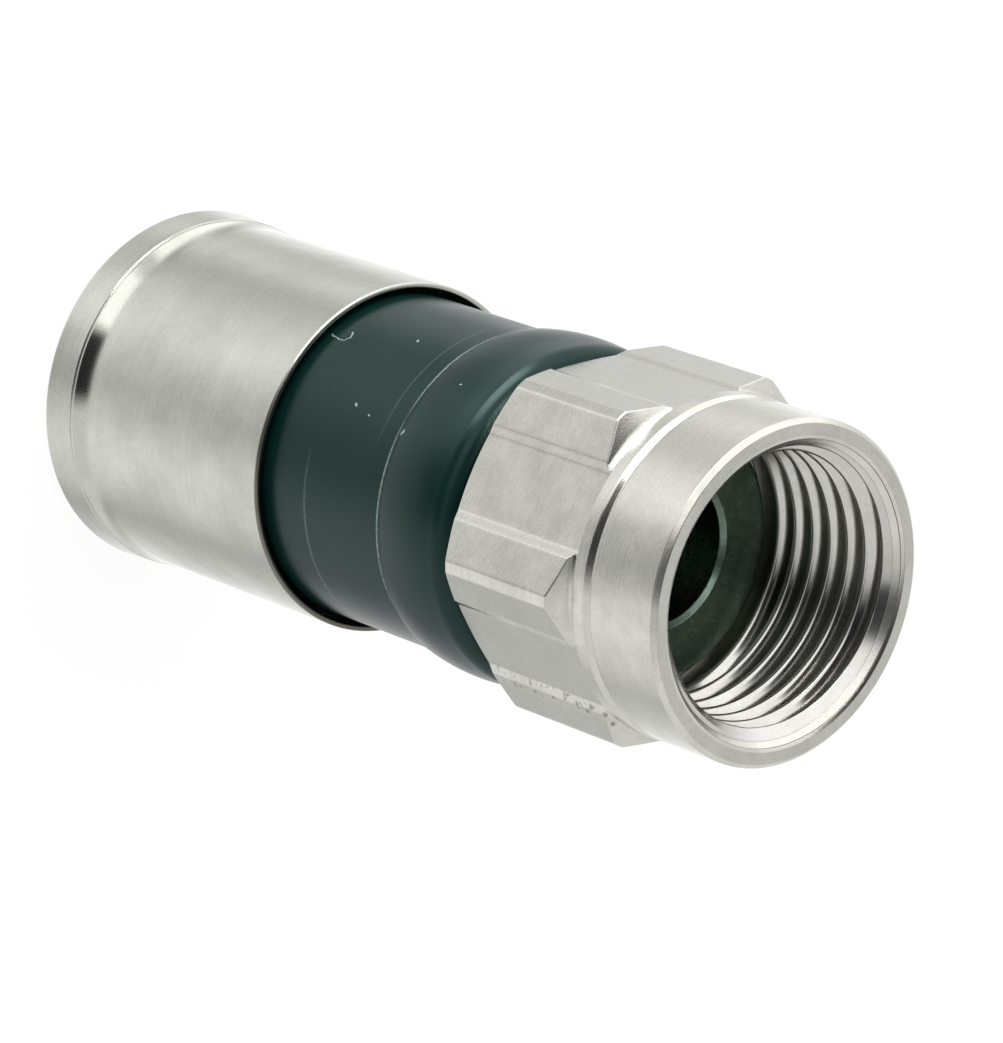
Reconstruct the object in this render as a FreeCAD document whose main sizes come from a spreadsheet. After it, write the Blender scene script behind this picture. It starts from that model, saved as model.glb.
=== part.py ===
import FreeCAD, Part
import os
import Sketcher

# Compression F connector for thin coaxial cable, with its sleeve not yet pressed home.
# It stands on the sleeve's rear rim: the axis is Z, and +Z points towards the coupling nut.
# The origin is the centre of the rim's flat end. Lengths are in millimetres.

SIZES = [
    # compression sleeve
    ("sleeve_length", 11.15, "from the rim's end to the thin front edge"),
    ("sleeve_radius", 5.92, "outside of the plain sleeve"),
    ("sleeve_wall", 0.22, "thickness of the plain sleeve"),
    ("sleeve_lip_thickness", 0.10, "metal left at the front edge"),
    ("sleeve_lip_bevel", 0.30, "length of the inner bevel at the front edge"),
    ("rim_rise", 0.20, "how far the rear rim stands out from the sleeve at its end"),
    ("rim_front_rise", 0.14, "how far it stands out where it stops"),
    ("rim_length", 1.35, "length of the rear rim"),
    ("rim_edge", 0.10, "bevel of the rim's rear corner"),
    ("rim_sweep", 0.65, "length of the hollow sweep from the rim to the sleeve"),
    ("entry_length", 1.20, "length of the cable entry"),
    ("entry_bevel", 0.35, "bevel of the cable entry's mouth"),
    ("entry_clearance", 0.10, "from the body's tail to the cable entry when pressed"),
    ("squeeze_ramp_length", 1.70, "length of the cone that presses on the tail"),
    # connector body
    ("body_back", 5.60, "height of the tail's end inside the sleeve"),
    ("tail_radius", 4.05, "outside of the slim tail"),
    ("tail_edge", 0.06, "bevel of the tail's rear corner"),
    ("tail_shoulder_length", 1.30, "length of the cone from the slim tail to the barrel"),
    ("barrel_back_length", 0.30, "plain barrel between that cone and the guide ring"),
    ("barrel_gap", 0.20, "from the plain barrel to the sleeve's bore"),
    ("guide_clearance", 0.04, "from the guide ring to the sleeve's bore"),
    ("guide_setback", 0.55, "from the sleeve's front edge back to the guide ring"),
    ("guide_length", 1.00, "length of the guide ring with its bevels"),
    ("guide_bevel", 0.15, "bevel on each side of the guide ring"),
    ("flare_height", 16.80, "height where the barrel starts to flare"),
    ("flare_length", 0.30, "length of the flare"),
    ("swell_back_rise", 0.16, "how far the front section stands out from the barrel at the flare"),
    ("swell_front_rise", 0.22, "how far it stands out at its blunted edge"),
    ("swell_arc_radius", 7.20, "radius of the front section's bulging outline"),
    ("body_front", 20.20, "height of the body's front face"),
    ("front_round_radial", 0.62, "depth of the blunted front edge towards the axis"),
    ("front_round_axial", 0.60, "length of the blunted front edge"),
    ("jacket_bore_radius", 3.70, "room for the cable's jacket"),
    ("jacket_mouth_bevel", 0.12, "bevel of the jacket bore's mouth"),
    ("hub_length", 3.00, "grip of the body on the post's shank"),
    ("hub_press", 0.02, "how much smaller the hub's bore is than the shank, as a radius"),
    # post
    ("post_recess", 0.40, "from the tail's end in to the post's tip"),
    ("post_bore_radius", 2.40, "bore for the cable's dielectric"),
    ("post_tube_radius", 2.85, "outside of the tube that slips under the braid"),
    ("barb_radius", 3.05, "outside of the barb"),
    ("barb_length", 0.90, "length of the barb's cone"),
    ("barb_back_length", 0.10, "length of the barb's steep side"),
    ("tip_radius", 2.58, "outside of the tube's tip"),
    ("shank_radius", 3.60, "shank held in the body's hub"),
    ("flange_radius", 4.27, "front flange"),
    ("flange_thickness", 1.00, "thickness of the front flange"),
    ("flange_edge", 0.10, "bevel of the flange's outer corner"),
    ("flange_mouth_bevel", 0.23, "bevel of the bore in the flange"),
    # coupling nut
    ("nut_back_gap", 0.10, "from the body's front face to the nut"),
    ("nut_length", 9.70, "length of the coupling nut"),
    ("across_flats", 11.00, "hexagon across its flats"),
    ("corner_trim", 0.071, "how far the turned outside cuts into the hexagon's sharp corners"),
    ("back_bevel_drop", 0.30, "from the flats in to the flat rear face"),
    ("back_bevel_length", 0.70, "length of the rear corner bevel"),
    ("hexagon_length", 5.85, "length of the hexagon up to the collar"),
    ("front_sweep_length", 0.85, "length of the hollow sweep in front of the corners"),
    ("channel_mouth_width", 3.20, "width of the shallow channel in each flat"),
    ("channel_floor_width", 2.60, "width of that channel's floor"),
    ("channel_depth", 0.13, "depth of that channel"),
    ("collar_rise", 0.04, "how far the collar between hexagon and skirt stands out from the skirt"),
    ("collar_width", 0.62, "width of the collar"),
    ("collar_edge", 0.06, "bevel of the collar's rear corner"),
    ("groove_depth", 0.05, "depth of the fine groove below the skirt"),
    ("groove_length", 0.20, "length of the fine groove"),
    ("skirt_wall", 0.60, "thickness of the round skirt at the nut's mouth"),
    ("skirt_edge", 0.11, "bevel of the skirt's front corner"),
    ("mouth_flare", 0.2375, "how far the nut's mouth opens beyond the thread"),
    ("mouth_bevel_length", 0.22, "length of the mouth's cone down to the thread's outer diameter"),
    ("thread_radius", 4.7625, "thread's outer diameter, 3/8 inch, as a radius"),
    ("thread_pitch", 0.79375, "from one thread ridge to the next, 32 to the inch"),
    ("thread_depth", 0.39, "depth of the thread"),
    ("thread_crest", 0.20, "width of a thread ridge's crest"),
    ("relief_depth", 0.20, "depth of the relief behind the thread"),
    ("relief_bevel", 0.20, "length of the cone from the relief to the thread"),
    ("lip_thickness", 2.36, "inner lip that the flange holds"),
    ("lip_clearance", 0.06, "from the post's shank to the lip"),
    ("lip_end_gap", 0.05, "end play under the flange"),
    ("pocket_clearance", 0.14, "from the seal ring out to its pocket's wall"),
    # seal ring
    ("seal_width", 0.80, "width and height of the seal ring's section"),
    ("seal_edge", 0.22, "bevel of the section's four edges"),
    ("seal_slack", 0.02, "from the seal ring to the shank and to the body's face"),
    ("seal_lip_gap", 0.04, "from the seal ring up to the nut's lip"),
]

# Across the corners over across the flats, halved: one over the square root of three.
HALF_CORNERS_PER_FLATS = 0.5773502691896258
FLAT_COUNT = 6
THREAD_RIDGES = 6
# Share of a quarter round's depth that is still to come half way round it: one less the cosine of 45 degrees.
HALF_WAY_ROUND = 0.2928932188134524
# Radius beyond every corner, out to which the flats are milled.
MILLING_MARGIN = 1.0


class Size:
    """A length that knows its number and the sheet expression that gives it."""

    def __init__(self, text, value):
        self.text = text
        self.value = value

    def combine(self, sign, other, value):
        return Size(f"({self.text} {sign} {other.text})", value)

    def __add__(self, other):
        other = as_size(other)
        return self.combine("+", other, self.value + other.value)

    def __sub__(self, other):
        other = as_size(other)
        return self.combine("-", other, self.value - other.value)

    def __mul__(self, other):
        other = as_size(other)
        return self.combine("*", other, self.value * other.value)

    def __truediv__(self, other):
        other = as_size(other)
        return self.combine("/", other, self.value / other.value)


def as_size(value):
    """The value itself if it is a size, else a size that holds the plain number."""
    if isinstance(value, Size):
        return value
    return Size(f"{float(value):.9f}", float(value))


class Sheet:
    """The driving sizes, each an attribute bound to its own cell."""

    def __init__(self, document):
        self.cells = document.addObject("Spreadsheet::Sheet", "Sizes")
        for row, (name, value, meaning) in enumerate(SIZES, start=1):
            self.cells.set(f"A{row}", str(value))
            self.cells.setAlias(f"A{row}", name)
            self.cells.set(f"B{row}", meaning)
            setattr(self, name, Size(f"Sizes.{name}", value))


doc = FreeCAD.newDocument("FConnector")
s = Sheet(doc)
doc.recompute()

ZERO = as_size(0)


def plane_of(body, role):
    """The body's own origin plane with this role."""
    for feature in body.Origin.OriginFeatures:
        if feature.Role == role:
            return feature
    raise ValueError(role)


def new_body(label, height):
    """An empty body whose local zero lies at this height on the axis."""
    body = doc.addObject("PartDesign::Body", label)
    body.Label = label
    body.setExpression("Placement.Base.z", height.text)
    return body


def new_sketch(body, name, role):
    sketch = body.newObject("Sketcher::SketchObject", name)
    sketch.AttachmentSupport = [(plane_of(body, role), "")]
    sketch.MapMode = "FlatFace"
    return sketch


def edge_between(start, end, arc_radius):
    """A line, or an arc with its centre on the left of the way from start to end if the radius is positive."""
    if arc_radius is None:
        return Part.LineSegment(start, end)
    along = end - start
    middle = (start + end) * 0.5
    left = FreeCAD.Vector(-along.y, along.x, 0).normalize()
    side = 1 if arc_radius.value > 0 else -1
    radius = abs(arc_radius.value)
    to_centre = (radius**2 - (along.Length / 2) ** 2) ** 0.5
    crown = middle + left * side * (to_centre - radius)
    return Part.Arc(start, crown, end)


def draw_outline(sketch, corners):
    """Close an outline through the corners, each (across, up) or (across, up, radius of the arc that follows)."""
    places = [FreeCAD.Vector(corner[0].value, corner[1].value, 0) for corner in corners]
    arcs = [corner[2] if len(corner) > 2 else None for corner in corners]
    count = len(corners)
    ends = []
    for index in range(count):
        edge = edge_between(places[index], places[(index + 1) % count], arcs[index])
        number = sketch.addGeometry(edge, False)
        # An arc always runs counterclockwise, so one with its centre on the right starts at the far corner.
        swapped = arcs[index] is not None and arcs[index].value < 0
        ends.append((number, (2, 1) if swapped else (1, 2)))
    for index in range(count):
        here, there = ends[index], ends[(index + 1) % count]
        sketch.addConstraint(Sketcher.Constraint("Coincident", here[0], here[1][1], there[0], there[1][0]))
    for index, corner in enumerate(corners):
        number, (first, _) = ends[index]
        pin_to_axis(sketch, "DistanceX", corner[0], number, first, -2)
        pin_to_axis(sketch, "DistanceY", corner[1], number, first, -1)
        if arcs[index] is not None:
            radius = Sketcher.Constraint("Radius", number, abs(arcs[index].value))
            bind(sketch, radius, f"abs({arcs[index].text})")


def pin_to_axis(sketch, kind, distance, number, point, axis):
    """Hold a corner at its distance from the origin, or on the axis where that distance is nothing."""
    if distance is ZERO:
        sketch.addConstraint(Sketcher.Constraint("PointOnObject", number, point, axis))
        return
    bind(sketch, Sketcher.Constraint(kind, -1, 1, number, point, distance.value), distance.text)


def bind(sketch, constraint, text):
    index = sketch.addConstraint(constraint)
    sketch.setExpression(f"Constraints[{index}]", text)


def turn(body, name, corners):
    """Revolve a half section, drawn as radius and height, about the body's own Z axis."""
    sketch = new_sketch(body, f"{name}_section", "XZ_Plane")
    draw_outline(sketch, corners)
    solid = body.newObject("PartDesign::Revolution", name)
    solid.Profile = sketch
    solid.ReferenceAxis = (sketch, ["V_Axis"])
    solid.Angle = 360
    return solid


def arc_tangent_to_axis(width, drop):
    """Radius of an arc that sinks by drop over width and ends along the axis."""
    return (width * width + drop * drop) / (drop * 2)


def sleeve_bore_radius():
    return s.sleeve_radius - s.sleeve_wall


def make_compression_sleeve():
    """Thin sleeve with a rear rim; inside, a cone narrows to the cable entry."""
    body = new_body("compression_sleeve", ZERO)
    entry_radius = s.tail_radius + s.entry_clearance
    rim_radius = s.sleeve_radius + s.rim_rise
    rim_front_radius = s.sleeve_radius + s.rim_front_rise
    sweep_radius = arc_tangent_to_axis(s.rim_sweep, s.rim_front_rise)
    bore_radius = sleeve_bore_radius()
    turn(body, "sleeve_turned", [
        (entry_radius + s.entry_bevel, ZERO),
        (rim_radius - s.rim_edge, ZERO),
        (rim_radius, s.rim_edge),
        (rim_front_radius, s.rim_length, ZERO - sweep_radius),
        (s.sleeve_radius, s.rim_length + s.rim_sweep),
        (s.sleeve_radius, s.sleeve_length),
        (s.sleeve_radius - s.sleeve_lip_thickness, s.sleeve_length),
        (bore_radius, s.sleeve_length - s.sleeve_lip_bevel),
        (bore_radius, s.entry_length + s.squeeze_ramp_length),
        (entry_radius, s.entry_length),
        (entry_radius, s.entry_bevel),
    ])
    return body


def make_connector_body():
    """Plastic body: slim tail, plain barrel with a guide ring under the sleeve, flared front section."""
    back = s.body_back
    body = new_body("connector_body", back)
    barrel_radius = sleeve_bore_radius() - s.barrel_gap
    guide_radius = sleeve_bore_radius() - s.guide_clearance
    guide_front = s.sleeve_length - s.guide_setback - back
    guide_back = guide_front - s.guide_length
    shoulder_front = guide_back - s.barrel_back_length
    shoulder_back = shoulder_front - s.tail_shoulder_length
    flare = s.flare_height - back
    front = s.body_front - back
    swell_front_radius = barrel_radius + s.swell_front_rise
    hub_bore = s.shank_radius - s.hub_press
    turn(body, "body_turned", [
        (s.jacket_bore_radius + s.jacket_mouth_bevel, ZERO),
        (s.tail_radius - s.tail_edge, ZERO),
        (s.tail_radius, s.tail_edge),
        (s.tail_radius, shoulder_back),
        (barrel_radius, shoulder_front),
        (barrel_radius, guide_back),
        (guide_radius, guide_back + s.guide_bevel),
        (guide_radius, guide_front - s.guide_bevel),
        (barrel_radius, guide_front),
        (barrel_radius, flare),
        (barrel_radius + s.swell_back_rise, flare + s.flare_length, s.swell_arc_radius),
        (swell_front_radius, front - s.front_round_axial),
        (swell_front_radius - s.front_round_radial * HALF_WAY_ROUND, front - s.front_round_axial * HALF_WAY_ROUND),
        (swell_front_radius - s.front_round_radial, front),
        (hub_bore, front),
        (hub_bore, front - s.hub_length),
        (s.jacket_bore_radius, front - s.hub_length),
        (s.jacket_bore_radius, s.jacket_mouth_bevel),
    ])
    return body


def make_post():
    """Metal tube with a rear barb, a shank held by the body and the flange that holds the nut."""
    back = s.body_back + s.post_recess
    body = new_body("post", back)
    shank_back = s.body_front - s.hub_length - back
    flange_back = flange_height() - back
    face = flange_back + s.flange_thickness
    turn(body, "post_turned", [
        (s.post_bore_radius, ZERO),
        (s.tip_radius, ZERO),
        (s.barb_radius, s.barb_length),
        (s.post_tube_radius, s.barb_length + s.barb_back_length),
        (s.post_tube_radius, shank_back),
        (s.shank_radius, shank_back),
        (s.shank_radius, flange_back),
        (s.flange_radius, flange_back),
        (s.flange_radius, face - s.flange_edge),
        (s.flange_radius - s.flange_edge, face),
        (s.post_bore_radius + s.flange_mouth_bevel, face),
        (s.post_bore_radius, face - s.flange_mouth_bevel),
    ])
    return body


def nut_height():
    return s.body_front + s.nut_back_gap


def pocket_depth():
    """Room that the seal ring needs between the body's face and the nut's lip."""
    return s.seal_slack + s.seal_width + s.seal_lip_gap - s.nut_back_gap


def flange_height():
    return nut_height() + pocket_depth() + s.lip_thickness + s.lip_end_gap


def thread_ridges(front):
    """Section of the thread from its mouth inwards: ridges at the thread's pitch, each a flank and a flat crest."""
    flank = (s.thread_pitch - s.thread_crest) / 2
    crest_radius = s.thread_radius - s.thread_depth
    corners = []
    for turn_number in range(THREAD_RIDGES):
        crest_front = front - s.thread_pitch * turn_number - flank
        corners.append((s.thread_radius, crest_front + flank))
        corners.append((crest_radius, crest_front))
        corners.append((crest_radius, crest_front - s.thread_crest))
    return corners


def make_coupling_nut():
    """Turned blank with bevelled corners and threaded bore, then six flats, each with a shallow channel."""
    body = new_body("coupling_nut", nut_height())
    apothem = s.across_flats / 2
    corner_radius = s.across_flats * HALF_CORNERS_PER_FLATS - s.corner_trim
    mouth_radius = s.thread_radius + s.mouth_flare
    skirt_radius = mouth_radius + s.skirt_wall
    collar_radius = skirt_radius + s.collar_rise
    collar_base = collar_radius - s.collar_edge
    relief_radius = s.thread_radius + s.relief_depth
    pocket_radius = s.shank_radius + s.seal_slack + s.seal_width + s.pocket_clearance
    lip_front = pocket_depth() + s.lip_thickness
    thread_front = s.nut_length - s.mouth_bevel_length
    thread_back = thread_front - s.thread_pitch * THREAD_RIDGES
    lip_radius = s.shank_radius + s.lip_clearance
    sweep_back = s.hexagon_length - s.front_sweep_length
    sweep_radius = arc_tangent_to_axis(s.front_sweep_length, corner_radius - collar_base)
    collar_front = s.hexagon_length + s.collar_width
    turned = turn(body, "nut_turned", [
        (pocket_radius, ZERO),
        (apothem - s.back_bevel_drop, ZERO),
        (corner_radius, s.back_bevel_length),
        (corner_radius, sweep_back, ZERO - sweep_radius),
        (collar_base, s.hexagon_length),
        (collar_radius, s.hexagon_length + s.collar_edge),
        (collar_radius, collar_front - s.groove_length / 2),
        (skirt_radius - s.groove_depth, collar_front),
        (skirt_radius, collar_front + s.groove_length / 2),
        (skirt_radius, s.nut_length - s.skirt_edge),
        (skirt_radius - s.skirt_edge, s.nut_length),
        (mouth_radius, s.nut_length),
        *thread_ridges(thread_front),
        (s.thread_radius, thread_back),
        (relief_radius, thread_back - s.relief_bevel),
        (relief_radius, lip_front),
        (lip_radius, lip_front),
        (lip_radius, pocket_depth()),
        (pocket_radius, pocket_depth()),
    ])
    doc.recompute()
    blank_volume = turned.Shape.Volume

    half_side = apothem * HALF_CORNERS_PER_FLATS
    outside = corner_radius + MILLING_MARGIN
    half_outside = outside * HALF_CORNERS_PER_FLATS
    half_mouth = s.channel_mouth_width / 2
    half_floor = s.channel_floor_width / 2
    floor = apothem - s.channel_depth
    flat_sketch = new_sketch(body, "flat_outline", "XY_Plane")
    draw_outline(flat_sketch, [
        (apothem, ZERO - half_side),
        (outside, ZERO - half_outside),
        (outside, half_outside),
        (apothem, half_side),
        (apothem, half_mouth),
        (floor, half_floor),
        (floor, ZERO - half_floor),
        (apothem, ZERO - half_mouth),
    ])
    flat = body.newObject("PartDesign::Pocket", "flat")
    flat.Profile = flat_sketch
    flat.Reversed = True
    flat.setExpression("Length", s.hexagon_length.text)
    doc.recompute()
    flats = body.newObject("PartDesign::PolarPattern", "flats")
    flats.Originals = [flat]
    flats.Axis = (flat_sketch, ["N_Axis"])
    flats.Angle = 360
    flats.Occurrences = FLAT_COUNT
    body.Tip = flats
    doc.recompute()
    if not flats.Shape.Volume < flat.Shape.Volume < blank_volume:
        raise ValueError("the flats did not cut the nut")
    return body


def make_seal_ring():
    """Rubber ring round the shank, between the body's face and the nut's lip."""
    body = new_body("seal_ring", s.body_front + s.seal_slack)
    inside = s.shank_radius + s.seal_slack
    outside = inside + s.seal_width
    top = s.seal_width
    turn(body, "seal_turned", [
        (inside + s.seal_edge, ZERO),
        (outside - s.seal_edge, ZERO),
        (outside, s.seal_edge),
        (outside, top - s.seal_edge),
        (outside - s.seal_edge, top),
        (inside + s.seal_edge, top),
        (inside, top - s.seal_edge),
        (inside, s.seal_edge),
    ])
    return body


def check(pieces):
    """Stop if any object failed or any piece has no valid single solid."""
    for feature in doc.Objects:
        if "Invalid" in feature.State or "Error" in feature.State:
            raise ValueError(f"{feature.Name} failed: {feature.State}")
    for piece in pieces:
        shape = piece.Shape
        if shape.isNull() or not shape.isValid() or len(shape.Solids) != 1:
            raise ValueError(f"{piece.Label} has no valid solid")


pieces = [
    make_compression_sleeve(),
    make_connector_body(),
    make_post(),
    make_coupling_nut(),
    make_seal_ring(),
]
doc.recompute()
check(pieces)

os.makedirs("parts", exist_ok=True)
for piece in pieces:
    piece.Shape.exportStep(f"parts/{piece.Label}.step")
    box = piece.Shape.BoundBox
    print(f"{piece.Label}: volume {piece.Shape.Volume:.2f}, height {box.ZMin:.3f} to {box.ZMax:.3f}")
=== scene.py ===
import math

import bpy
import numpy as np
from mathutils import Matrix, Vector


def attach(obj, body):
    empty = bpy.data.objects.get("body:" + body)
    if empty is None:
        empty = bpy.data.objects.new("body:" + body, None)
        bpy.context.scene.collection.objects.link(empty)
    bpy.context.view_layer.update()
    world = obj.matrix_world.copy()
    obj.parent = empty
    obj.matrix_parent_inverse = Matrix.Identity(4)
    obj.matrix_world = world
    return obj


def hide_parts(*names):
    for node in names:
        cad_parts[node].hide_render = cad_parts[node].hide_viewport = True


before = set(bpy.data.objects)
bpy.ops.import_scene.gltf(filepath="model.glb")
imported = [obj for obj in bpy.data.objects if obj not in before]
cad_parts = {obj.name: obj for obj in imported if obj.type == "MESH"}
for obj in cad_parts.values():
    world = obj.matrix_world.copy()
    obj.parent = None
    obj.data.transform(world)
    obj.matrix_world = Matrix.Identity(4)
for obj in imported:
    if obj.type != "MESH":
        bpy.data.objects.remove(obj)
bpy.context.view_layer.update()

# Compression F connector, standing on the rear rim of its sleeve, with the nut upwards.
# Lengths are in millimetres, and heights are measured up from the rim's end.
MM = 0.001
EDGE = 0.035  # the rounding that most edges share
BARREL = 5.50  # radius of the body's plain part
FLASH = 16.76  # height of the fine ridge where the body's mould closes

# The nut's heights are measured up from its rear face. WALL is the radius that its thread is cut to.
NUT = 20.30
FLAT, CORNER, CHANNEL = 5.50, 6.24, 5.37
WALL = 9.525 / 2
MOUTH = 9.45  # height in the nut at which the lead-in cone begins


# Shapes

ALONG_BEND = np.linspace(0, 1, 4)  # where a bend has its points, from its start to its end


def bend(start, corner, end, t):
    """The point t of the way along a parabola about a corner: start (1-t)^2 + 2 corner t (1-t) + end t^2."""
    return start * (1 - t) ** 2 + corner * 2 * t * (1 - t) + end * t * t


def rounded(corners, columns=1):
    """Closed section drawn counterclockwise from corners of (radius, height, edge radius).

    Radius and height are numbers or one value per column. Each corner with an edge radius becomes a bend
    whose ends lie edge radius / tan(half the corner's angle) away from it, and a row just outside each end
    keeps the faces beside it flat. Returns the points as (row, column, 2).
    """
    side_share = 0.42
    guard, guard_share = 0.03, 0.3
    tiny = 1e-9
    place = [np.stack(np.broadcast_arrays(np.zeros(columns) + across, up), -1) for across, up, _ in corners]
    rows = []
    for index, (_, _, edge) in enumerate(corners):
        here = place[index]
        if edge == 0:
            rows.append(here)
            continue
        back = place[index - 1] - here
        ahead = place[(index + 1) % len(corners)] - here
        back_length = np.linalg.norm(back, axis=-1, keepdims=True) + tiny
        ahead_length = np.linalg.norm(ahead, axis=-1, keepdims=True) + tiny
        back, ahead = back / back_length, ahead / ahead_length
        cosine = np.clip((back * ahead).sum(-1, keepdims=True), -1, 1)
        reach = edge * np.sqrt((1 + cosine) / np.maximum(1 - cosine, tiny))
        reach = np.minimum(reach, side_share * np.minimum(back_length, ahead_length))
        start, end = here + back * reach, here + ahead * reach
        rows.append(start + back * np.minimum(guard, guard_share * (back_length - reach)))
        rows += [bend(start, here, end, t) for t in ALONG_BEND]
        rows.append(end + ahead * np.minimum(guard, guard_share * (ahead_length - reach)))
    return np.array(rows)


def sweep_points(start, end, pieces, hollow, tangent_at_end):
    """Points between two corners, on the arc that runs along the axis at one of them.

    With w its length along the axis and d its depth, the arc's radius R is (w^2 + d^2) / 2d, and at a height
    h from the corner where it runs along the axis it has moved by R - sqrt(R^2 - h^2), outwards if it is
    hollow.
    """
    (start_radius, start_height), (end_radius, end_height) = start, end
    width, depth = abs(end_height - start_height), abs(end_radius - start_radius)
    radius = (width ** 2 + depth ** 2) / (2 * depth)
    shares = np.arange(1, pieces) / pieces
    heights = start_height + (end_height - start_height) * shares
    tangent_radius, tangent_height = end if tangent_at_end else start
    moved = radius - np.sqrt(radius ** 2 - (heights - tangent_height) ** 2)
    radii = tangent_radius + moved if hollow else tangent_radius - moved
    return [(across, up, 0) for across, up in zip(radii, heights)]


def grid_mesh(name, points, closed_columns=True):
    """Mesh of a grid of points (row, column, 3); rows always close, columns close or end in a flat cap.

    A quad's outward side is the column's direction crossed with the row's.
    """
    rows, columns = points.shape[:2]
    index = np.arange(rows * columns).reshape(rows, columns)
    here = index if closed_columns else index[:, :-1]
    right = np.roll(index, -1, 1) if closed_columns else index[:, 1:]
    quads = np.stack([here, right, np.roll(right, -1, 0), np.roll(here, -1, 0)], -1).reshape(-1, 4)
    polygons = quads.tolist()
    if not closed_columns:
        polygons += [index[:, 0].tolist(), index[::-1, -1].tolist()]
    mesh = bpy.data.meshes.new(name)
    mesh.from_pydata((points.reshape(-1, 3) * MM).tolist(), [], polygons)
    mesh.polygons.foreach_set("use_smooth", np.ones(len(mesh.polygons), bool))
    mesh.validate()
    piece = bpy.data.objects.new(name, mesh)
    bpy.context.scene.collection.objects.link(piece)
    return piece


def round_angles(count):
    """This many angles, evenly round the axis from the x axis."""
    return np.arange(count) * 2 * math.pi / count


def turned(section, angles):
    """Section (row, column, 2), of radius and height, turned: x = r cos a, y = r sin a, z = height."""
    radius = section[..., 0] + np.zeros_like(angles)
    height = section[..., 1] + np.zeros_like(angles)
    return np.stack([radius * np.cos(angles), radius * np.sin(angles), height], -1)


def lathe(name, corners, around=288):
    """Mesh of a closed section, given by its corners, turned round the axis."""
    return grid_mesh(name, turned(rounded(corners), round_angles(around)))


def make_sleeve():
    """Thin plated sleeve: rim, fine groove, hollow sweep, tube, and the inner cone that grips the cable."""
    rim, sweep_foot, tube, bore, entry = 6.12, 6.045, 5.92, 5.70, 4.15
    rim_top, tube_start, front = 1.40, 2.45, 11.15
    cone_start, cone_end = 1.20, 2.90
    bevel, entry_bevel = 0.10, 0.35
    corners = [
        (entry + entry_bevel, 0, EDGE), (rim - bevel, 0, EDGE), (rim, bevel, EDGE),
        (6.065, rim_top - 0.07, 0.01), (6.03, rim_top - 0.06, 0), (sweep_foot, rim_top, 0),
        *sweep_points((sweep_foot, rim_top), (tube, tube_start), 10, True, True),
        (tube, tube_start, 0), (tube, front, 0.07), (bore + 0.05, front, 0.05), (bore, front - 0.20, 0.1),
        (bore, cone_end, EDGE), (entry, cone_start, EDGE), (entry, entry_bevel, EDGE),
    ]
    return lathe("compression_sleeve_plated", corners)


def make_body():
    """Moulded body: tail, shoulder, barrel with its guide ring, flare and the swelled front section.

    The swell stands off the line between its ends as an arc of radius bow does, by sqrt(bow^2 - h^2) less the
    same at its ends, where h is the height from its middle.
    """
    tail, guide, swell_rear, swell_front, nose = 4.05, 5.66, 5.66, 5.72, 5.10
    bore, post_bore = 3.70, 3.58
    rear, shoulder_start, shoulder_end, guide_start, guide_end = 5.60, 8.00, 9.30, 9.60, 10.60
    swell_start, swell_end, bore_end, front = 17.10, 19.60, 17.20, 20.20
    bow = 7.2
    bore_bevel, tail_bevel, guide_slope, flash_half = 0.12, 0.06, 0.15, 0.04
    height = np.linspace(swell_start, swell_end, 12)
    middle, half = (swell_start + swell_end) / 2, (swell_end - swell_start) / 2
    stand_off = np.sqrt(bow ** 2 - (height - middle) ** 2) - math.sqrt(bow ** 2 - half ** 2)
    line = swell_rear + (swell_front - swell_rear) * (height - swell_start) / (2 * half)
    swell = [(across, up, 0) for across, up in zip(line + stand_off, height)]
    corners = [
        (bore + bore_bevel, rear, 0.02), (tail - tail_bevel, rear, 0.02), (tail, rear + tail_bevel, 0.02),
        (tail, shoulder_start, EDGE), (BARREL, shoulder_end, EDGE),
        (BARREL, guide_start, EDGE), (guide, guide_start + guide_slope, EDGE),
        (guide, guide_end - guide_slope, EDGE), (BARREL, guide_end, EDGE),
        (BARREL, FLASH - flash_half, 0.02), (BARREL + 0.015, FLASH, 0.01), (BARREL, FLASH + flash_half, 0.02),
        (*swell[0][:2], 0.05), *swell[1:],
        *sweep_points((swell_front, swell_end), (nose, front), 8, False, False),
        (nose, front, 0.04), (post_bore, front, EDGE), (post_bore, bore_end, EDGE), (bore, bore_end, EDGE),
        (bore, rear + bore_bevel, 0.02),
    ]
    return lathe("connector_body_moulded", corners)


def make_post():
    """Plated tube: barbed rear end, shank and front flange."""
    bore, barb_tip, shank, barb, seat, flange = 2.40, 2.58, 2.85, 3.05, 3.60, 4.27
    rear, barb_top, seat_start, flange_start, front = 6.00, 6.90, 17.20, 23.47, 24.47
    fine, bevel, mouth_bevel = 0.03, 0.10, 0.16
    corners = [
        (bore, rear, fine), (barb_tip, rear, fine), (barb, barb_top, fine),
        (shank, barb_top + bevel, fine), (shank, seat_start, EDGE), (seat, seat_start, EDGE),
        (seat, flange_start, EDGE), (flange, flange_start, EDGE),
        (flange, front - bevel, EDGE), (flange - bevel, front, EDGE),
        (bore + mouth_bevel, front, EDGE), (bore, front - mouth_bevel, EDGE),
    ]
    return lathe("post_plated", corners, around=192)


def make_seal():
    """Round rubber ring: a circle of radius thick carried round the axis."""
    ring, thick, height = 4.02, 0.395, 20.62
    turn = round_angles(24)
    section = np.stack([ring + thick * np.cos(turn), height + thick * np.sin(turn)], -1)
    return grid_mesh("seal_ring_rubber", turned(section[:, None], round_angles(144)))


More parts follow.
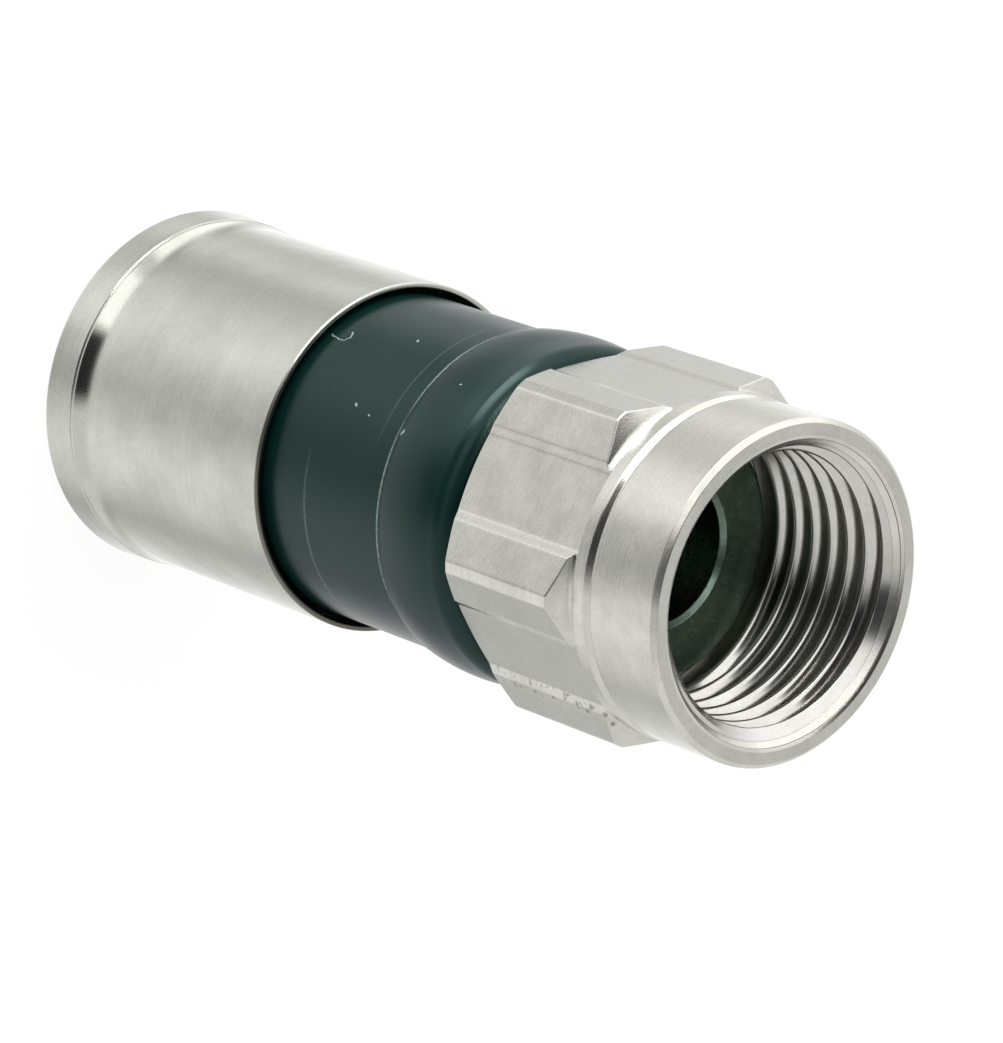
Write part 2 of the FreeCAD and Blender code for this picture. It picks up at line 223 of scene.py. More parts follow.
def hexagon_outline():
    """Angles and radii of the milled outline.

    One sixth, with x square to the flat: half the turned corner, land, slope, channel floor, slope, land,
    half the next corner, with each edge a bend. The same sixth is turned by 60 degrees six times.
    """
    channel_half, floor_half = 1.60, 1.30
    land_edge, channel_edge = 0.05, 0.045
    spacing, clear = 0.12, 1.5
    sixth = math.pi / 3
    land_end = math.sqrt(CORNER ** 2 - FLAT ** 2)
    tip = np.array([CORNER * math.cos(sixth / 2), CORNER * math.sin(sixth / 2)])
    path = np.array([
        tip * (1, -1), (FLAT, -land_end), (FLAT, -channel_half), (CHANNEL, -floor_half),
        (CHANNEL, floor_half), (FLAT, channel_half), (FLAT, land_end), tip,
    ])
    edges = [0, land_edge, channel_edge, channel_edge, channel_edge, channel_edge, land_edge, 0]
    kept = [path[0]]
    for index in range(len(path) - 1):
        here, ahead = path[index], path[index + 1]
        if edges[index]:
            back_way, ahead_way = path[index - 1] - here, ahead - here
            start = here + back_way / np.linalg.norm(back_way) * edges[index]
            end = here + ahead_way / np.linalg.norm(ahead_way) * edges[index]
            kept += [bend(start, here, end, t) for t in ALONG_BEND]
        # Plain points between two edges stay clear of their bends.
        gap = np.linalg.norm(ahead - here)
        for t in np.linspace(0, 1, max(2, int(gap / spacing)) + 1)[1:-1]:
            if t * gap > clear * edges[index] and (1 - t) * gap > clear * edges[index + 1]:
                kept.append(here + (ahead - here) * t)
    kept = np.array(kept)
    angle, radius = np.arctan2(kept[:, 1], kept[:, 0]), np.hypot(kept[:, 0], kept[:, 1])
    order = np.argsort(angle)
    return np.concatenate([angle[order] + k * sixth for k in range(6)]), np.tile(radius[order], 6)


def make_nut():
    """Coupling nut: at each angle the turned section, cut back to the hexagon's outline there.

    The rear bevel is a cone from bevel_foot out to the corners. The front is a 30 degree chamfer, z =
    meet_height - (r - meet) tan 30, and then a hollow to the collar's foot, r = foot + R - sqrt(R^2 - (top -
    z)^2). There R is ((top - meet_height)^2 + (meet - foot)^2) / 2 (meet - foot), which lets the hollow end
    where the chamfer begins.
    """
    bevel_foot, bevel_height = 5.20, 0.70
    foot, top = 5.5775, 5.96
    meet, meet_height = 5.64, 5.78
    collar, skirt, front = foot + 0.06, 5.60, 9.70
    mouth_ring, mouth_rim = 5.06, 4.95
    thread_start, relief = 4.35, WALL + 0.20
    web, web_start, web_end = 3.66, 0.76, 3.12
    seal_pocket = 4.56
    angles, outline = hexagon_outline()
    hollow = ((top - meet_height) ** 2 + (meet - foot) ** 2) / (2 * (meet - foot))
    slope = math.tan(math.radians(30))
    back = (outline - bevel_foot) * bevel_height / (CORNER - bevel_foot)
    in_hollow = top - np.sqrt(np.maximum(hollow ** 2 - (foot + hollow - np.minimum(outline, meet)) ** 2, 0))
    start = np.where(outline > meet, meet_height - (outline - meet) * slope, in_hollow)
    start = np.where(outline > foot, start, top)
    sweep = []
    for t in np.arange(1, 12) / 12:
        height = start + (top - start) * t
        curve = foot + hollow - np.sqrt(np.maximum(hollow ** 2 - (top - height) ** 2, 0))
        front_face = np.where(height < meet_height, meet + (meet_height - height) / slope, curve)
        # Where the flat lies below the collar's foot, a plain step joins them.
        sweep.append((np.where(outline > foot, front_face, outline + (foot - outline) * t), height, 0))
    corners = [
        (seal_pocket, 0, EDGE), (bevel_foot, 0, EDGE), (outline, back, 0.05), (outline, start, 0.05),
        *sweep,
        (foot, top, 0.015), (collar, top + 0.06, 0.02), (collar, 6.52, 0.3), (5.56, 6.76, 0.2),
        (skirt + 0.005, 6.83, 0.03), (skirt, front - 0.15, 0.03), (skirt - 0.15, front, 0.03),
        (mouth_ring, front, 0.04), (mouth_rim, front - 0.05, 0.01), (mouth_rim - 0.01, front - 0.085, 0.005),
        (WALL, MOUTH, 0.02), (WALL, thread_start, 0.03), (relief, thread_start - 0.20, EDGE),
        (relief, web_end, EDGE), (web, web_end, EDGE), (web, web_start, EDGE), (seal_pocket, web_start, EDGE),
    ]
    section = rounded(corners, len(angles))
    section[..., 1] += NUT
    return grid_mesh("coupling_nut_plated", turned(section, angles))


def make_thread():
    """Right-handed thread, 32 turns to the inch: a 60 degree tooth with a round crest, carried up the bore.

    Height = that at the x axis + pitch * turns. With u from 1 to -1 across the tooth, r = root - depth (1 -
    |u|), where (u^2 + crest^2) / (2 crest) takes the place of |u| near the crest. The root lies inside the
    wall, the depth grows over the first third of a turn and fades over the last fifth, and the mouth's cone
    trims it all.
    """
    pitch = 25.4 / 32
    first, last = -1 / 3, 6.5
    root, full_depth, half_width, crest = 4.84, 0.58, 0.335, 0.37
    least_depth = 0.02
    # The trim lies this far inside the nut's wall, so that the two surfaces never share a place.
    sunk, cone_slope = 0.0125, 1.07
    angle = np.linspace(first, last, 960) * 2 * math.pi
    height = NUT + 4.55 + pitch * angle / (2 * math.pi)
    run = np.minimum((angle - angle[0]) * 3, (angle[-1] - angle) * 5) / (2 * math.pi)
    depth = full_depth * np.clip(run, least_depth, 1)
    u = np.linspace(1, -1, 29)[:, None]
    across = np.where(np.abs(u) < crest, (u ** 2 + crest ** 2) / (2 * crest), np.abs(u))
    level = np.minimum(height + half_width * u, NUT + MOUTH + 0.05)
    radius = np.maximum(root - depth * (1 - across), WALL + sunk + cone_slope * (level - NUT - MOUTH))
    section = np.stack([radius, level], -1)
    return grid_mesh("coupling_nut_thread", turned(section, angle), closed_columns=False)


# Finishes

# Colour sockets of a Mix node, whose names belong to its other kinds of value too.
COLOUR_A, COLOUR_B, COLOUR_RESULT = 6, 7, 2


def linear(code):
    """sRGB hex to linear colour: v / 12.92 up to 0.04045, and ((v + 0.055) / 1.055)^2.4 above it."""
    values = [int(code[i:i + 2], 16) / 255 for i in (0, 2, 4)]
    return [v / 12.92 if v <= 0.04045 else ((v + 0.055) / 1.055) ** 2.4 for v in values] + [1.0]


def add(tree, kind, inputs=None, stops=(), **settings):
    """Add a node with its settings; an input is a plain value or another node's output to link.

    stops are a colour ramp's positions with their grey values.
    """
    made = tree.nodes.new(kind)
    for name, value in settings.items():
        setattr(made, name, value)
    for number, (position, grey) in enumerate(stops):
        elements = made.color_ramp.elements
        stop = elements[number] if number < 2 else elements.new(position)
        stop.position = position
        stop.color = (grey, grey, grey, 1)
    for name, value in (inputs or {}).items():
        if isinstance(value, bpy.types.NodeSocket):
            tree.links.new(value, made.inputs[name])
        else:
            made.inputs[name].default_value = value
    return made


def new_material(name):
    """A material with its node tree, its shader and the place in metres that its patterns read."""
    material = bpy.data.materials.new(name)
    material.use_nodes = True
    tree = material.node_tree
    tree.nodes.clear()
    shader = add(tree, "ShaderNodeBsdfPrincipled")
    add(tree, "ShaderNodeOutputMaterial", {"Surface": shader.outputs[0]})
    place = add(tree, "ShaderNodeTexCoord").outputs["Object"]
    return material, tree, shader, place


def per_mm(size):
    """Texture scale for features of this size in millimetres."""
    return 1 / (size * MM)


def compass(degrees):
    """Direction square to the axis at this bearing, from +X towards +Y."""
    angle = math.radians(degrees)
    return math.cos(angle), math.sin(angle), 0


def on_round(degrees, height, across, radius):
    """A patch for marks(), given by its bearing and height on a round surface of radius across."""
    x, y, _ = compass(degrees)
    return across * x, across * y, height, radius


def marks(tree, place, patches):
    """Mask of uneven patches, each (x, y, z, radius) in millimetres: 1 inside, fading out at the edge."""
    ragged_size, ragged_reach, fading = 0.14, 0.16, 0.35
    ragged = add(tree, "ShaderNodeTexNoise", {"Vector": place, "Scale": per_mm(ragged_size), "Detail": 2.0})
    centred = {0: ragged.outputs["Color"], 1: (-0.5, -0.5, -0.5)}
    centred = add(tree, "ShaderNodeVectorMath", centred, operation="ADD").outputs[0]
    shift = {0: centred, "Scale": ragged_reach * MM}
    shift = add(tree, "ShaderNodeVectorMath", shift, operation="SCALE").outputs[0]
    place = add(tree, "ShaderNodeVectorMath", {0: place, 1: shift}, operation="ADD").outputs[0]
    mask = 0.0
    for x, y, z, radius in patches:
        centre = (x * MM, y * MM, z * MM)
        away = add(tree, "ShaderNodeVectorMath", {0: place, 1: centre}, operation="DISTANCE")
        reach = {"From Min": radius * MM, "From Max": radius * (1 - fading) * MM}
        patch = add(tree, "ShaderNodeMapRange", {"Value": away.outputs["Value"], **reach})
        mask = add(tree, "ShaderNodeMath", {0: mask, 1: patch.outputs[0]}, operation="MAXIMUM").outputs[0]
    return mask


def stripe(tree, value, middle, half):
    """Mask that is 1 where a length in metres is near the middle and 0 from half a width away, both in mm."""
    core = 0.4
    away = add(tree, "ShaderNodeMath", {0: value, 1: middle * MM}, operation="SUBTRACT")
    size = add(tree, "ShaderNodeMath", {0: away.outputs[0]}, operation="ABSOLUTE")
    reach = {"From Min": half * MM, "From Max": half * core * MM}
    return add(tree, "ShaderNodeMapRange", {"Value": size.outputs[0], **reach}).outputs[0]


def painted_shade_edge(tree, parts, tone, height):
    """The tone, with painted shade in brown along the edge at this height, on its -Y side, away from the
    softbox.
    """
    half, side, strength = 0.16, 2.5 * MM, 0.8
    low_side = {"Value": parts.outputs[1], "From Min": side, "From Max": -side, "To Max": strength}
    low_side = add(tree, "ShaderNodeMapRange", low_side).outputs[0]
    line = stripe(tree, parts.outputs[2], height, half)
    edge = add(tree, "ShaderNodeMath", {0: line, 1: low_side}, operation="MULTIPLY").outputs[0]
    colours = {"Factor": edge, COLOUR_A: tone, COLOUR_B: linear("4E453A")}
    return add(tree, "ShaderNodeMix", colours, data_type="RGBA").outputs[COLOUR_RESULT]


def rough_channel(tree, place, parts, tone, relief):
    """The tone and relief with a crusty, pitted line along one edge of the channel that faces 240 degrees."""
    across_flat, out_of_flat = (0.866, -0.5, 0), (-0.5, -0.866, 0)
    middle, half, lump_height, stain_strength = 1.55, 0.38, 9.0, 0.6
    along = add(tree, "ShaderNodeVectorMath", {0: place, 1: across_flat}, operation="DOT_PRODUCT")
    facing = add(tree, "ShaderNodeVectorMath", {0: place, 1: out_of_flat}, operation="DOT_PRODUCT")
    near = {"Value": facing.outputs["Value"], "From Min": 5.2 * MM, "From Max": 5.3 * MM}
    near = add(tree, "ShaderNodeMapRange", near).outputs[0]
    below = {"Value": parts.outputs[2], "From Min": 26.2 * MM, "From Max": 26.1 * MM}
    below = add(tree, "ShaderNodeMapRange", below).outputs[0]
    line = stripe(tree, along.outputs["Value"], middle, half)
    line = add(tree, "ShaderNodeMath", {0: line, 1: near}, operation="MULTIPLY").outputs[0]
    line = add(tree, "ShaderNodeMath", {0: line, 1: below}, operation="MULTIPLY").outputs[0]
    crust = {"Vector": place, "Scale": per_mm(0.22), "Detail": 3.0}
    crust = add(tree, "ShaderNodeTexNoise", crust).outputs["Fac"]
    lumps = add(tree, "ShaderNodeMath", {0: line, 1: crust}, operation="MULTIPLY").outputs[0]
    lumpy = {0: lumps, 1: lump_height, 2: relief}
    relief = add(tree, "ShaderNodeMath", lumpy, operation="MULTIPLY_ADD").outputs[0]
    pits = {"Value": crust, "From Min": 0.42, "From Max": 0.34, "To Max": 0.6}
    pits = add(tree, "ShaderNodeMapRange", pits).outputs[0]
    pitted = add(tree, "ShaderNodeMath", {0: pits, 1: line}, operation="MULTIPLY").outputs[0]
    # Bearing, height, the flat's distance from the axis there and the stain's own radius.
    spot_places = ((258.5, 22.96, 5.72, 0.10), (261, 26.0, 5.75, 0.12), (256, 26.0, 5.7, 0.10))
    spots = marks(tree, place, [on_round(*spot) for spot in spot_places])
    stain = add(tree, "ShaderNodeMath", {0: spots, 1: stain_strength}, operation="MULTIPLY").outputs[0]
    pitted = add(tree, "ShaderNodeMath", {0: pitted, 1: stain}, operation="MAXIMUM").outputs[0]
    colours = {"Factor": pitted, COLOUR_A: tone, COLOUR_B: linear("5A5A50")}
    return add(tree, "ShaderNodeMix", colours, data_type="RGBA").outputs[COLOUR_RESULT], relief


def plated_brass(name, light, dark, rough, blotch_mm, turning_mm, relief_depth=0.35,
                 burnished=None, shaded_edge_height=None, rough_line=False):
    """Nickel or tin plate on machined brass: pale grey, satin, with cloudy patches and fine turned rings.

    blotch_mm and turning_mm are the sizes of the patches and rings, and relief_depth is the strength of the
    fine bumps. Between the two burnished heights a rolling tool has pressed the metal smooth, so it mirrors
    sharply. Real plate has a finer grain than the one here, which is drawn at 0.07 mm so that it shows.
    """
    material, tree, shader, place = new_material(name)
    parts = add(tree, "ShaderNodeSeparateXYZ", {0: place})
    cloud = {"Vector": place, "Scale": per_mm(blotch_mm), "Detail": 5.0, "Roughness": 0.65}
    cloud = add(tree, "ShaderNodeTexNoise", cloud).outputs["Fac"]
    # The rings follow the distance from the axis and the height, so they run round every turned face.
    flat = add(tree, "ShaderNodeVectorMath", {0: place, 1: (1, 1, 0)}, operation="MULTIPLY")
    radius = add(tree, "ShaderNodeVectorMath", {0: flat.outputs[0]}, operation="LENGTH")
    section = add(tree, "ShaderNodeCombineXYZ", {0: radius.outputs["Value"], 2: parts.outputs[2]})
    rings = {"Vector": section.outputs[0], "Scale": per_mm(turning_mm), "Detail": 4.0}
    rings = add(tree, "ShaderNodeTexNoise", rings).outputs["Fac"]
    grain = {"Vector": place, "Scale": per_mm(0.07), "Detail": 3.0}
    grain = add(tree, "ShaderNodeTexNoise", grain).outputs["Fac"]
    # Rings and grain swing the patches' tone to both sides by these shares.
    ring_share, grain_share = 0.35, 0.5
    blend = {0: rings, 1: ring_share, 2: -ring_share / 2}
    blend = add(tree, "ShaderNodeMath", blend, operation="MULTIPLY_ADD")
    mottle = {0: grain, 1: grain_share, 2: -grain_share / 2}
    mottle = add(tree, "ShaderNodeMath", mottle, operation="MULTIPLY_ADD")
    texture = add(tree, "ShaderNodeMath", {0: blend.outputs[0], 1: mottle.outputs[0]}, operation="ADD")
    factor = add(tree, "ShaderNodeMath", {0: cloud, 1: texture.outputs[0]}, operation="ADD")
    spread = add(tree, "ShaderNodeMapRange", {"Value": factor.outputs[0], "From Min": 0.25, "From Max": 0.75})
    colours = {"Factor": spread.outputs[0], COLOUR_A: linear(dark), COLOUR_B: linear(light)}
    tone = add(tree, "ShaderNodeMix", colours, data_type="RGBA").outputs[COLOUR_RESULT]
    satin = {"Value": cloud, "From Min": 0.3, "From Max": 0.7, "To Min": rough + 0.04, "To Max": rough - 0.03}
    roughness = add(tree, "ShaderNodeMapRange", satin).outputs[0]
    relief = add(tree, "ShaderNodeMath", {0: grain, 1: rings}, operation="ADD").outputs[0]
    if burnished:
        low, high = burnished
        inside = stripe(tree, parts.outputs[2], (low + high) / 2, high - low)
        roughness = add(tree, "ShaderNodeMix", {"Factor": inside, "A": roughness, "B": 0.13}).outputs[0]
    # Painted shade: the front edge turns brown on its -Y side, away from the softbox.
    if shaded_edge_height:
        tone = painted_shade_edge(tree, parts, tone, shaded_edge_height)
    if rough_line:
        tone, relief = rough_channel(tree, place, parts, tone, relief)
    bump = add(tree, "ShaderNodeBump", {"Strength": relief_depth, "Distance": 0.006 * MM, "Height": relief})
    shader.inputs["Metallic"].default_value = 1.0
    tree.links.new(tone, shader.inputs["Base Color"])
    tree.links.new(roughness, shader.inputs["Roughness"])
    tree.links.new(bump.outputs[0], shader.inputs["Normal"])
    return material


def worn_bands(tree, place, parts, grain):
    """Mask of pale flash and scuffs that run part of the way round the barrel, broken up by the grain."""
    # Height, half width, middle bearing and strength of each.
    bands = (
        (FLASH, 0.05, 205, 0.55), (FLASH, 0.05, 140, 0.3), (16.02, 0.04, 147, 0.12), (13.10, 0.07, 228, 0.16),
    )
    worn = 0.0
    for height, half, degrees, strength in bands:
        facing = add(tree, "ShaderNodeVectorMath", {0: place, 1: compass(degrees)}, operation="DOT_PRODUCT")
        reach = {"From Min": 4.2 * MM, "From Max": 5.4 * MM, "To Max": strength}
        reach = add(tree, "ShaderNodeMapRange", {"Value": facing.outputs["Value"], **reach}).outputs[0]
        line = stripe(tree, parts.outputs[2], height, half)
        band = add(tree, "ShaderNodeMath", {0: line, 1: reach}, operation="MULTIPLY").outputs[0]
        worn = add(tree, "ShaderNodeMath", {0: worn, 1: band}, operation="MAXIMUM").outputs[0]
    broken = {"Value": grain, "From Min": 0.35, "From Max": 0.6, "To Min": 0.5}
    broken = add(tree, "ShaderNodeMapRange", broken).outputs[0]
    return add(tree, "ShaderNodeMath", {0: worn, 1: broken}, operation="MULTIPLY").outputs[0]


def dust_and_fibre():
    """Patches for marks(): specks of dust on the body, and a fibre that runs up it and ends in a hook.

    The fibre rises straight up the barrel and its hook is part of an ellipse. Patches side by side draw both.
    """
    # Bearing, height, the surface's distance from the axis there and the speck's own radius.
    speck_places = (
        (176.3, 17.0, 5.61, 0.10), (175.6, 17.1, 5.66, 0.08), (171.7, 14.32, BARREL, 0.07),
        (140.8, 14.6, BARREL, 0.06), (154.9, 18.3, 5.8, 0.05), (173.8, 15.12, BARREL, 0.05),
    )
    fibre_radius = 0.038
    straight = [(150 + t, 11.2 + 0.5 * t) for t in np.linspace(0, 1, 9)]
    hook = [(148.6 + 2.4 * math.cos(t), 11.75 + 0.26 * math.sin(t)) for t in np.linspace(0.2, 2.6, 11)]
    fibre = [on_round(degrees, height, BARREL, fibre_radius) for degrees, height in straight + hook]
    return [on_round(*speck) for speck in speck_places] + fibre


def moulded_plastic():
    """Injection-moulded acetal, dark teal: smooth satin skin, pale flash, a parting line, dust and a fibre.

    The skin's fine unevenness is drawn at 0.12 mm, coarser than the real one, so that it shows.
    """
    material, tree, shader, place = new_material("acetal_moulded_teal")
    parts = add(tree, "ShaderNodeSeparateXYZ", {0: place})
    cloud = {"Vector": place, "Scale": per_mm(2.2), "Detail": 3.0}
    cloud = add(tree, "ShaderNodeTexNoise", cloud).outputs["Fac"]
    grain = {"Vector": place, "Scale": per_mm(0.12), "Detail": 3.0}
    grain = add(tree, "ShaderNodeTexNoise", grain).outputs["Fac"]
    colours = {"Factor": cloud, COLOUR_A: linear("031917"), COLOUR_B: linear("051E1B")}
    tone = add(tree, "ShaderNodeMix", colours, data_type="RGBA").outputs[COLOUR_RESULT]
    satin = {"Value": cloud, "From Min": 0.3, "From Max": 0.7, "To Min": 0.25, "To Max": 0.33}
    roughness = add(tree, "ShaderNodeMapRange", satin).outputs[0]
    worn = worn_bands(tree, place, parts, grain)
    colours = {"Factor": worn, COLOUR_A: tone, COLOUR_B: linear("8FA39C")}
    tone = add(tree, "ShaderNodeMix", colours, data_type="RGBA").outputs[COLOUR_RESULT]
    # The parting line runs up the side that faces 241 degrees.
    across = add(tree, "ShaderNodeVectorMath", {0: place, 1: compass(241 + 90)}, operation="DOT_PRODUCT")
    near = {"Value": parts.outputs[1], "From Min": 0.0, "From Max": -2 * MM, "To Max": 0.7}
    near = add(tree, "ShaderNodeMapRange", near).outputs[0]
    line = stripe(tree, across.outputs["Value"], 0, 0.05)
    seam = add(tree, "ShaderNodeMath", {0: line, 1: near}, operation="MULTIPLY").outputs[0]
    colours = {"Factor": seam, COLOUR_A: tone, COLOUR_B: linear("04100F")}
    tone = add(tree, "ShaderNodeMix", colours, data_type="RGBA").outputs[COLOUR_RESULT]
    specks = marks(tree, place, dust_and_fibre())
    colours = {"Factor": specks, COLOUR_A: tone, COLOUR_B: linear("75867F")}
    tone = add(tree, "ShaderNodeMix", colours, data_type="RGBA").outputs[COLOUR_RESULT]
    bump = add(tree, "ShaderNodeBump", {"Strength": 0.3, "Distance": 0.006 * MM, "Height": grain})
    # The sheen is weaker than usual, and takes these shares of the red, green and blue light.
    shader.inputs["Specular IOR Level"].default_value = 0.36
    shader.inputs["Specular Tint"].default_value = (0.7, 1.0, 0.95, 1)
    tree.links.new(tone, shader.inputs["Base Color"])
    tree.links.new(roughness, shader.inputs["Roughness"])
    tree.links.new(bump.outputs[0], shader.inputs["Normal"])
    return material


def rubber():
    """Black nitrile rubber, moulded: matte, with a faint bloom."""
    material, tree, shader, place = new_material("nitrile_rubber_moulded")
    cloud = {"Vector": place, "Scale": per_mm(0.7), "Detail": 3.0}
    cloud = add(tree, "ShaderNodeTexNoise", cloud).outputs["Fac"]
    colours = {"Factor": cloud, COLOUR_A: linear("101111"), COLOUR_B: linear("1C1D1D")}
    tone = add(tree, "ShaderNodeMix", colours, data_type="RGBA").outputs[COLOUR_RESULT]
    tree.links.new(tone, shader.inputs["Base Color"])
    shader.inputs["Roughness"].default_value = 0.65
    return material


def dress(piece, material, slot, body, *nodes):
    """Give a piece its material, its body and the CAD nodes that it takes the place of; slot is not used."""
    piece.data.materials.append(material)
    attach(piece, body)
    if nodes:
        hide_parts(*nodes)


nut_plate = plated_brass(
    "nickel_plate_on_milled_brass", light="DCDCD4", dark="C8C8C0", rough=0.22, blotch_mm=1.3, turning_mm=0.10,
    rough_line=True)
# The sleeve's front edge carries painted shade, in brown, on its -Y side.
sleeve_plate = plated_brass(
    "nickel_plate_on_drawn_brass", light="D6D7CE", dark="C0C1B8", rough=0.23, blotch_mm=2.2, turning_mm=0.14,
    relief_depth=0.22, burnished=(1.45, 2.3), shaded_edge_height=11.15)
thread_plate = plated_brass(
    "nickel_plate_on_cut_thread", light="D2D1CC", dark="C3C2BD", rough=0.14, blotch_mm=1.0, turning_mm=0.10,
    relief_depth=0.03)
post_plate = plated_brass(
    "tin_plate_on_turned_brass", light="94AA9C", dark="6E7E73", rough=0.28, blotch_mm=0.5, turning_mm=0.12)

dress(make_sleeve(), sleeve_plate, "sleeve_plating", "sleeve", "compression_sleeve")
dress(make_body(), moulded_plastic(), "body_plastic", "shell", "connector_body")
dress(make_post(), post_plate, "post_plating", "shell", "post")
dress(make_seal(), rubber(), "seal_rubber", "shell", "seal_ring")
dress(make_nut(), nut_plate, "nut_plating", "nut", "coupling_nut")
dress(make_thread(), thread_plate, "nut_plating", "nut")


# Camera: the photograph's view, measured from the thread, the hexagon and the round edges.
RIGHT = Vector((0.653646, 0.380972, 0.653916))
UP = Vector((-0.306329, 0.923295, -0.23171))
BACK = Vector((-0.692033, -0.048857, 0.720211))
CAMERA_PLACE = Vector((-141.609, -10.816, 164.335))
MIDDLE = Vector((0, 0, 15))


def make_camera():
    """Long lens, turned so that its x, y and z are the photograph's right, up and viewing ways."""
    lens = bpy.data.cameras.new("camera")
    lens.lens = 218.107
    lens.sensor_width = 36
    lens.clip_start = 0.01
    lens.clip_end = 10
    camera = bpy.data.objects.new("camera", lens)
    turn = Matrix((RIGHT, UP, BACK)).transposed().to_4x4()
    camera.matrix_world = Matrix.Translation(CAMERA_PLACE * MM) @ turn
    bpy.context.scene.collection.objects.link(camera)
    bpy.context.scene.camera = camera


def make_softbox():
    """Square lamp above the photograph's view, facing the connector's middle."""
    right, up, back = -60, 320, 120
    lamp = bpy.data.lights.new("key_softbox", "AREA")
    lamp.shape = "SQUARE"
    lamp.size = 260 * MM
    lamp.energy = 1.6
    way = RIGHT * right + UP * up + BACK * back
    holder = bpy.data.objects.new("key_softbox", lamp)
    holder.location = MIDDLE * MM + way * MM
    holder.rotation_mode = "QUATERNION"
    holder.rotation_quaternion = way.to_track_quat("Z", "Y")
    bpy.context.scene.collection.objects.link(holder)


def make_floor():
    """Flat round sheet of white paper just under the rim: rings of points, joined from each ring to the next.

    The camera sees it as white, it keeps the shadow, and reflections pass through it to the room.
    """
    radius = np.array([0.0, 100, 300, 600, 900, 1000])
    depth = 0.01
    around = round_angles(96)
    points = turned(np.stack([radius, np.zeros_like(radius) - depth], -1)[:, None], around)
    index = np.arange(len(radius) * len(around)).reshape(len(radius), -1)
    inner, outer = index[:-1], index[1:]
    quads = np.stack([outer, np.roll(outer, -1, 1), np.roll(inner, -1, 1), inner], -1)
    mesh = bpy.data.meshes.new("floor")
    mesh.from_pydata((points.reshape(-1, 3) * MM).tolist(), [], quads.reshape(-1, 4).tolist())
    floor = bpy.data.objects.new("floor", mesh)
    bpy.context.scene.collection.objects.link(floor)
    material, tree, shader, _ = new_material("white_paper_sweep")
    shader.inputs["Base Color"].default_value = linear("F2F2F0")
    shader.inputs["Roughness"].default_value = 0.9
    glow = add(tree, "ShaderNodeEmission", {"Color": linear("FFFFFF"), "Strength": 1.0})
    path = add(tree, "ShaderNodeLightPath")
    part = add(tree, "ShaderNodeMath", {0: path.outputs["Is Camera Ray"], 1: 0.92}, operation="MULTIPLY")
    paper = add(tree, "ShaderNodeMixShader", {0: part.outputs[0], 1: shader.outputs[0], 2: glow.outputs[0]})
    clear = add(tree, "ShaderNodeBsdfTransparent")
    ways = {0: path.outputs["Is Glossy Ray"], 1: paper.outputs[0], 2: clear.outputs[0]}
    mixed = add(tree, "ShaderNodeMixShader", ways)
    output = next(node for node in tree.nodes if node.type == "OUTPUT_MATERIAL")
    tree.links.new(mixed.outputs[0], output.inputs["Surface"])
    mesh.materials.append(material)


# The room that reflections show, as (bearing, brightness) round the compass, in four bands from low to high.
ROOM_BANDS = (
    [(0.0, 1.25), (0.07, 1.25), (0.11, 1.0), (0.16, 0.62), (0.22, 0.92), (0.283, 0.52), (0.33, 0.75),
     (0.422, 1.04), (0.50, 0.9), (0.55, 0.71), (0.60, 0.82), (0.667, 1.1), (0.744, 0.9), (0.81, 0.52),
     (0.9, 0.85), (1.0, 1.25)],
    [(0.0, 0.9), (0.12, 0.9), (0.17, 1.6), (0.31, 1.6), (0.33, 0.9), (0.355, 0.9), (0.375, 1.6),
     (0.46, 1.6), (0.485, 0.03), (0.58, 0.03), (0.61, 0.85), (1.0, 0.9)],
    [(0.0, 0.8), (0.12, 0.9), (0.17, 1.4), (0.30, 1.4), (0.34, 0.03), (0.575, 0.03), (0.61, 0.85),
     (1.0, 0.85)],
    [(0.0, 0.7), (0.12, 0.8), (0.19, 1.5), (0.42, 1.4), (0.50, 0.9), (0.58, 0.5), (0.64, 0.65), (0.72, 0.85),
     (0.84, 0.9), (1.0, 0.7)],
)
# The direction's z between which each band gives way to the next.
BAND_BLENDS = ((-0.70, -0.62), (-0.40, -0.26), (0.2, 0.5))


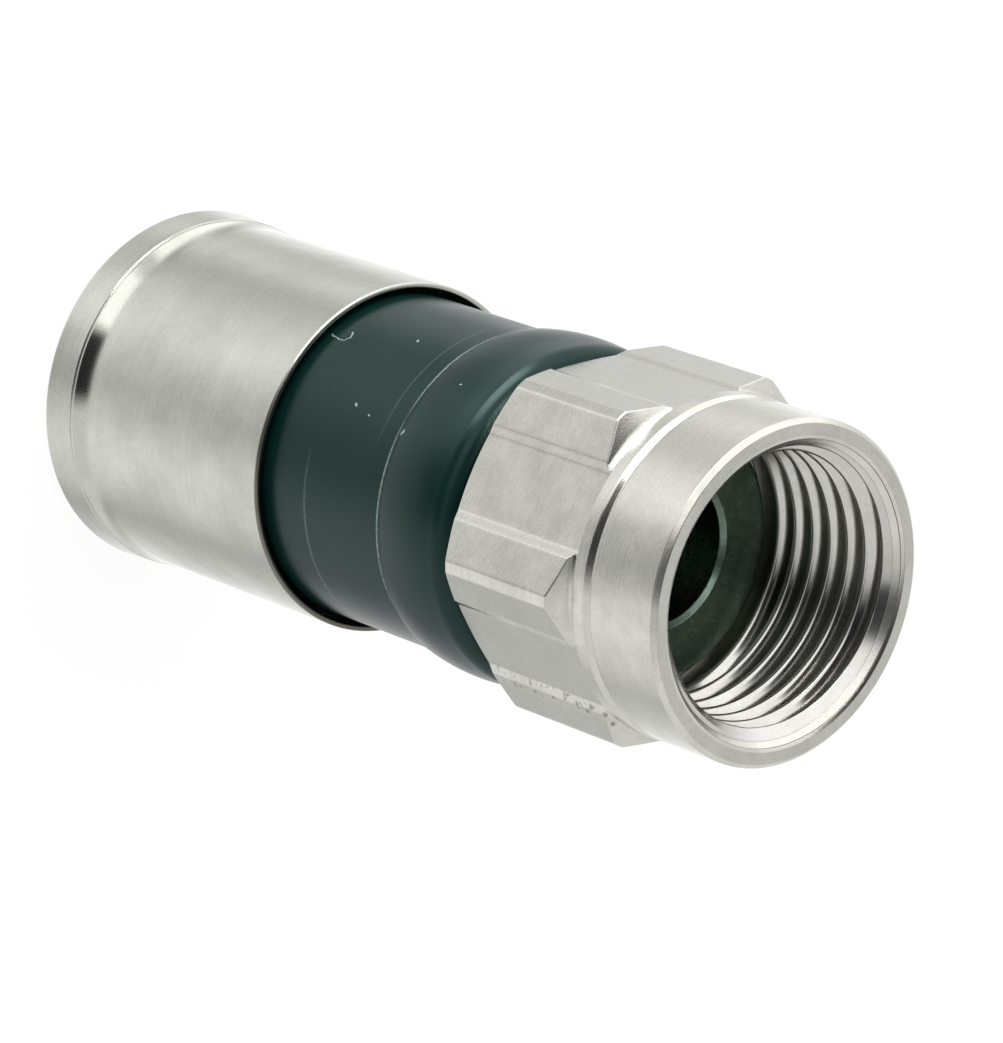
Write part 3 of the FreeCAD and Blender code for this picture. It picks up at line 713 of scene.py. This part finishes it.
def make_studio():
    """Soft room light. Reflections show a pale room whose brightness follows the compass, with dark parts.

    The bearing is atan2(-y, -x) / 360 degrees + 1/2, which is 0 at +X, 1/4 at +Y and about 1/2 on the
    camera's side.
    """
    world = bpy.data.worlds.new("studio")
    bpy.context.scene.world = world
    world.use_nodes = True
    tree = world.node_tree
    tree.nodes.clear()
    way = add(tree, "ShaderNodeTexCoord").outputs["Generated"]
    parts = add(tree, "ShaderNodeSeparateXYZ", {0: way})
    minus_x = add(tree, "ShaderNodeMath", {0: parts.outputs[0], 1: -1.0}, operation="MULTIPLY")
    minus_y = add(tree, "ShaderNodeMath", {0: parts.outputs[1], 1: -1.0}, operation="MULTIPLY")
    turn = add(tree, "ShaderNodeMath", {0: minus_y.outputs[0], 1: minus_x.outputs[0]}, operation="ARCTAN2")
    whole = {0: turn.outputs[0], 1: 1 / (2 * math.pi), 2: 0.5}
    bearing = add(tree, "ShaderNodeMath", whole, operation="MULTIPLY_ADD").outputs[0]
    bands = [add(tree, "ShaderNodeValToRGB", {0: bearing}, stops=stops).outputs[0] for stops in ROOM_BANDS]
    upper = bands[0]
    for band, (start, end) in zip(bands[1:], BAND_BLENDS):
        above = {"Value": parts.outputs[2], "From Min": start, "From Max": end}
        above = add(tree, "ShaderNodeMapRange", above, interpolation_type="SMOOTHSTEP").outputs[0]
        colours = {"Factor": above, COLOUR_A: upper, COLOUR_B: band}
        upper = add(tree, "ShaderNodeMix", colours, data_type="RGBA").outputs[COLOUR_RESULT]
    # Dark ceiling above the camera's left side.
    overhead = {"Value": parts.outputs[2], "From Min": 0.815, "From Max": 0.85}
    overhead = add(tree, "ShaderNodeMapRange", overhead, interpolation_type="SMOOTHSTEP").outputs[0]
    left_side = {"Value": parts.outputs[1], "From Min": -0.34, "From Max": -0.12, "To Max": 0.98}
    left_side = add(tree, "ShaderNodeMapRange", left_side, interpolation_type="SMOOTHSTEP").outputs[0]
    ceiling = add(tree, "ShaderNodeMath", {0: overhead, 1: left_side}, operation="MULTIPLY").outputs[0]
    # The dark camera itself, from 20 to 9 degrees about its way.
    camera_way = (-0.62, -0.17, 0.766)
    outer, inner = math.cos(math.radians(20)), math.cos(math.radians(9))
    facing = add(tree, "ShaderNodeVectorMath", {0: way, 1: camera_way}, operation="DOT_PRODUCT")
    camera_gap = {"Value": facing.outputs["Value"], "From Min": outer, "From Max": inner, "To Max": 0.93}
    camera_gap = add(tree, "ShaderNodeMapRange", camera_gap, interpolation_type="SMOOTHSTEP").outputs[0]
    dark = add(tree, "ShaderNodeMath", {0: ceiling, 1: camera_gap}, operation="MAXIMUM").outputs[0]
    strength = add(tree, "ShaderNodeMath", {0: 1.0, 1: dark}, operation="SUBTRACT").outputs[0]
    room = add(tree, "ShaderNodeBackground", {"Color": upper, "Strength": strength})
    # The room's own light is stronger from the two long sides, where the white walls are.
    side = {0: parts.outputs[1], 1: 0.5, 2: 0.5}
    side = add(tree, "ShaderNodeMath", side, operation="MULTIPLY_ADD").outputs[0]
    wall_stops = [(0.0, 3.4), (0.3, 0.55), (0.6, 0.5), (1.0, 5.0)]
    walls = add(tree, "ShaderNodeValToRGB", {0: side}, stops=wall_stops)
    ambient = add(tree, "ShaderNodeBackground", {"Color": walls.outputs[0], "Strength": 1.0})
    mirrored = add(tree, "ShaderNodeLightPath").outputs["Is Glossy Ray"]
    mixed = add(tree, "ShaderNodeMixShader", {0: mirrored, 1: ambient.outputs[0], 2: room.outputs[0]})
    add(tree, "ShaderNodeOutputWorld", {"Surface": mixed.outputs[0]})


bpy.context.scene.view_settings.view_transform = "Standard"
make_camera()
make_softbox()
make_floor()
make_studio()
